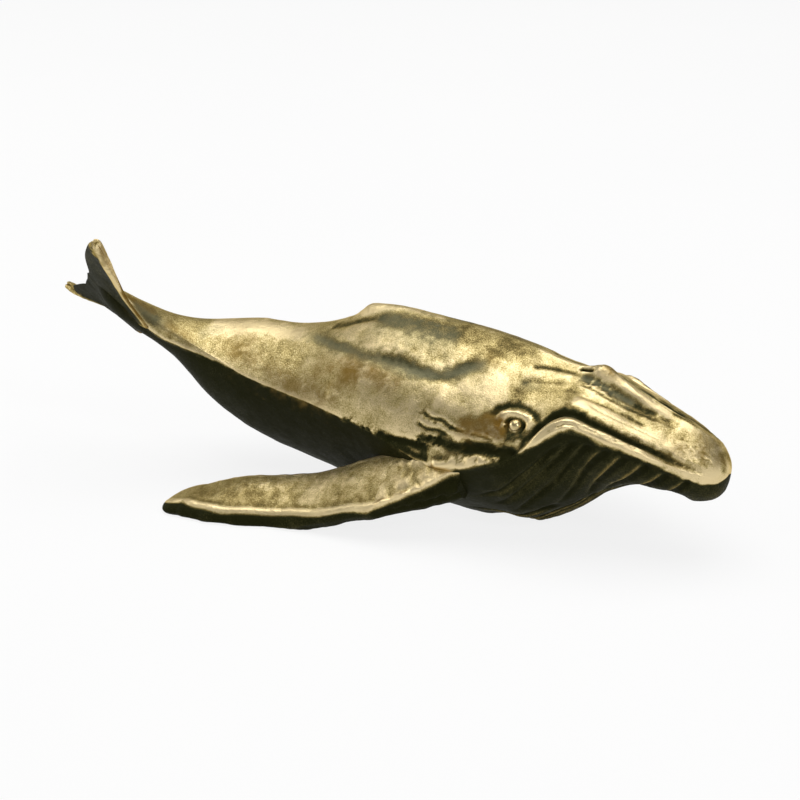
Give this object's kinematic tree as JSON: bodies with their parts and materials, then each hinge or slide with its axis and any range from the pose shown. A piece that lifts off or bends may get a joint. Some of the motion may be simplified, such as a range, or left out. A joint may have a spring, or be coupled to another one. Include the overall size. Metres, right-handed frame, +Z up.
{
  "type": "whale figurine",
  "caption": "Small cast brass humpback whale ornament, hollow body with swept flippers and raised flukes, rests on its throat and flippers.",
  "frame": {"origin": "on the narrow flat ground along the keel, where the figurine rests on its throat, below the body's middle", "axes": "+X towards the snout, +Y towards the whale's left side, +Z up from the surface that it stands on"},
  "size_m": [0.0827, 0.038, 0.0297],
  "materials": {
    "brass_lit": "antique, rubbed bright on the high places",
    "brass_dark": "antique, dark olive patina",
    "braze": "rough, as brazed",
    "brass_bead": "polished",
    "pin_brass": "drawn rod"
  },
  "bodies": {
    "root": {"back_casting": "brass_lit", "belly_casting": "brass_dark", "tail_flukes": "brass_lit", "right_flipper": "brass_lit", "left_flipper": "brass_lit", "right_flipper_braze": "braze", "left_flipper_braze": "braze", "right_eye": "brass_bead", "left_eye": "brass_bead", "front_pin": "pin_brass", "rear_pin": "pin_brass"}
  },
  "joints": []
}
